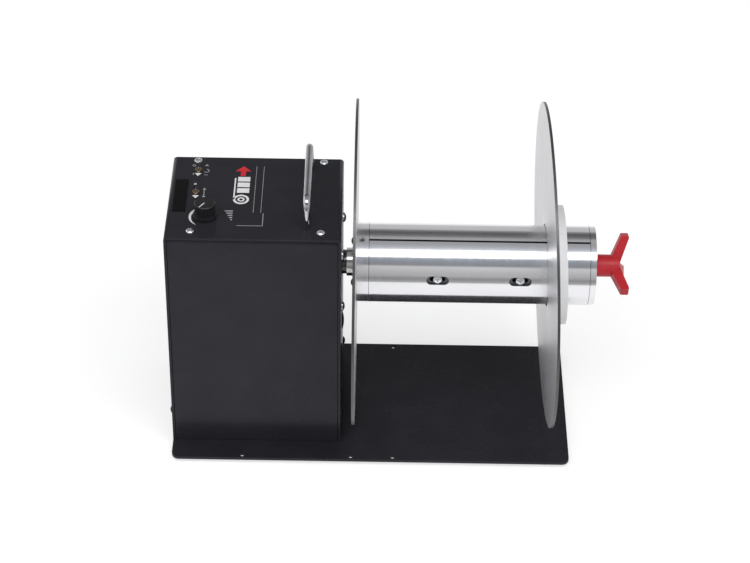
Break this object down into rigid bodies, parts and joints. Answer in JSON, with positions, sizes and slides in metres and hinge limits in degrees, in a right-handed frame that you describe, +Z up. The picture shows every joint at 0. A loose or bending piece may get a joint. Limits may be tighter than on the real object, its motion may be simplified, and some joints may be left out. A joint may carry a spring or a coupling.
{
  "type": "label rewinder",
  "caption": "Bench rewinder for label rolls: a black motor case on a base plate turns an expanding aluminium drum between a fixed and a loose flange, gripped by an arm knob.",
  "frame": {"origin": "under the middle of the whole machine, on the surface that its feet stand on", "axes": "+X along the spindle from the case to the knob, +Y to the back, +Z up"},
  "size_m": [0.434, 0.3088, 0.3313],
  "materials": {
    "black_powder": "satin black powder coat",
    "rubber": "black rubber",
    "zinc": "bright zinc plate",
    "black_oxide": "black oxide",
    "chrome": "polished chrome",
    "name_plate": "black anodised, bare",
    "cast_alloy": "as cast",
    "steel": "ground steel",
    "black_plastic": "moulded black",
    "motor_paint": "dark enamel",
    "board": "green solder mask",
    "board_parts": "moulded black",
    "brass": "plated brass",
    "turned_aluminium": "turned and polished",
    "flange_aluminium": "satin",
    "white_plastic": "turned white plastic",
    "red_plastic": "moulded red"
  },
  "bodies": {
    "frame": {"base_plate": "black_powder", "rubber_feet": "rubber", "case_shell": "black_powder", "front_cover": "black_powder", "rear_cover": "black_powder", "top_screws": "zinc", "side_screws": "black_oxide", "base_screws": "black_oxide", "carry_handle": "chrome", "handle_screws": "zinc", "name_plate": "name_plate", "bearing_housing": "cast_alloy", "front_bearing": "steel", "rear_bearing": "steel", "housing_bolts": "zinc", "hole_plug": "black_plastic", "motor_bracket": "steel", "bracket_screws": "black_oxide", "motor_gearbox": "cast_alloy", "motor_can": "motor_paint", "motor_screws": "zinc", "control_board": "board", "board_standoffs": "brass", "board_parts": "board_parts", "power_jack": "black_plastic", "jack_pin": "brass", "torque_pot": "steel", "pot_nut": "steel", "torque_switch": "brass", "direction_switch": "brass", "switch_nuts": "brass"},
    "spindle": {"spindle_shaft": "steel", "bearing_races": "steel", "spindle_gear": "steel", "gear_set_screw": "black_oxide", "shaft_collar": "steel", "collar_screw": "black_oxide", "inner_flange": "flange_aluminium", "flange_screws": "zinc", "inner_hub": "turned_aluminium", "hub_set_screw": "zinc", "tie_rods": "steel", "end_cap": "turned_aluminium", "end_cap_screws": "black_oxide"},
    "motor_rotor": {"motor_shaft": "steel", "motor_pinion": "steel"},
    "loose_flange": {"outer_flange": "flange_aluminium", "flange_hub": "white_plastic", "flange_hub_screws": "zinc"},
    "draw_knob": {"chuck_knob": "red_plastic", "draw_screw": "steel"},
    "wedge": {"wedge_carrier": "black_oxide", "jaw_screws": "zinc"},
    "drum_jaw_1": {"jaw_1": "turned_aluminium"},
    "drum_jaw_2": {"jaw_2": "turned_aluminium"},
    "drum_jaw_3": {"jaw_3": "turned_aluminium"},
    "torque_dial": {"torque_knob": "black_plastic", "pot_shaft": "steel"},
    "torque_toggle": {"torque_lever": "chrome"},
    "direction_toggle": {"direction_lever": "chrome"}
  },
  "joints": [
    {"name": "spindle_spin", "type": "hinge", "parent": "frame", "child": "spindle", "pos_m": [-0.04155, 0, 0.177], "axis": [1, 0, 0], "continuous": true},
    {"name": "motor_spin", "type": "hinge", "parent": "frame", "child": "motor_rotor", "pos_m": [-0.11655, 0, 0.1185], "axis": [1, 0, 0], "continuous": true},
    {"name": "flange_slide", "type": "slide", "parent": "spindle", "child": "loose_flange", "axis": [1, 0, 0], "range_m": [-0.16, 0.09]},
    {"name": "knob_turn", "type": "hinge", "parent": "spindle", "child": "draw_knob", "pos_m": [0.18515, 0, 0.177], "axis": [-1, 0, 0], "range_deg": [-180, 180]},
    {"name": "wedge_slide", "type": "slide", "parent": "spindle", "child": "wedge", "axis": [1, 0, 0], "range_m": [-0.005, 0.005]},
    {"name": "jaw_1_slide", "type": "slide", "parent": "spindle", "child": "drum_jaw_1", "axis": [0, -0.9836, 0.1805], "range_m": [-0.00065, 0.00065]},
    {"name": "jaw_2_slide", "type": "slide", "parent": "spindle", "child": "drum_jaw_2", "axis": [0, 0.6481, 0.7615], "range_m": [-0.00065, 0.00065]},
    {"name": "jaw_3_slide", "type": "slide", "parent": "spindle", "child": "drum_jaw_3", "axis": [0, 0.3355, -0.9421], "range_m": [-0.00065, 0.00065]},
    {"name": "torque_dial_turn", "type": "hinge", "parent": "frame", "child": "torque_dial", "pos_m": [-0.17855, -0.031, 0.2495], "axis": [0, 0, 1], "range_deg": [-208, 92]},
    {"name": "torque_toggle_tilt", "type": "hinge", "parent": "frame", "child": "torque_toggle", "pos_m": [-0.18965, 0.0425, 0.2501], "axis": [1, 0, 0], "range_deg": [-12, 12]},
    {"name": "direction_toggle_tilt", "type": "hinge", "parent": "frame", "child": "direction_toggle", "pos_m": [-0.18965, 0.0065, 0.2501], "axis": [1, 0, 0], "range_deg": [-12, 12]}
  ],
  "couplings": [
    {"joint": "motor_spin", "follows": "spindle_spin", "ratio": -3.3333},
    {"joint": "knob_turn", "follows": "wedge_slide", "rad_per_m": 628.32},
    {"joint": "jaw_1_slide", "follows": "wedge_slide", "ratio": 0.13},
    {"joint": "jaw_2_slide", "follows": "wedge_slide", "ratio": 0.13},
    {"joint": "jaw_3_slide", "follows": "wedge_slide", "ratio": 0.13}
  ]
}
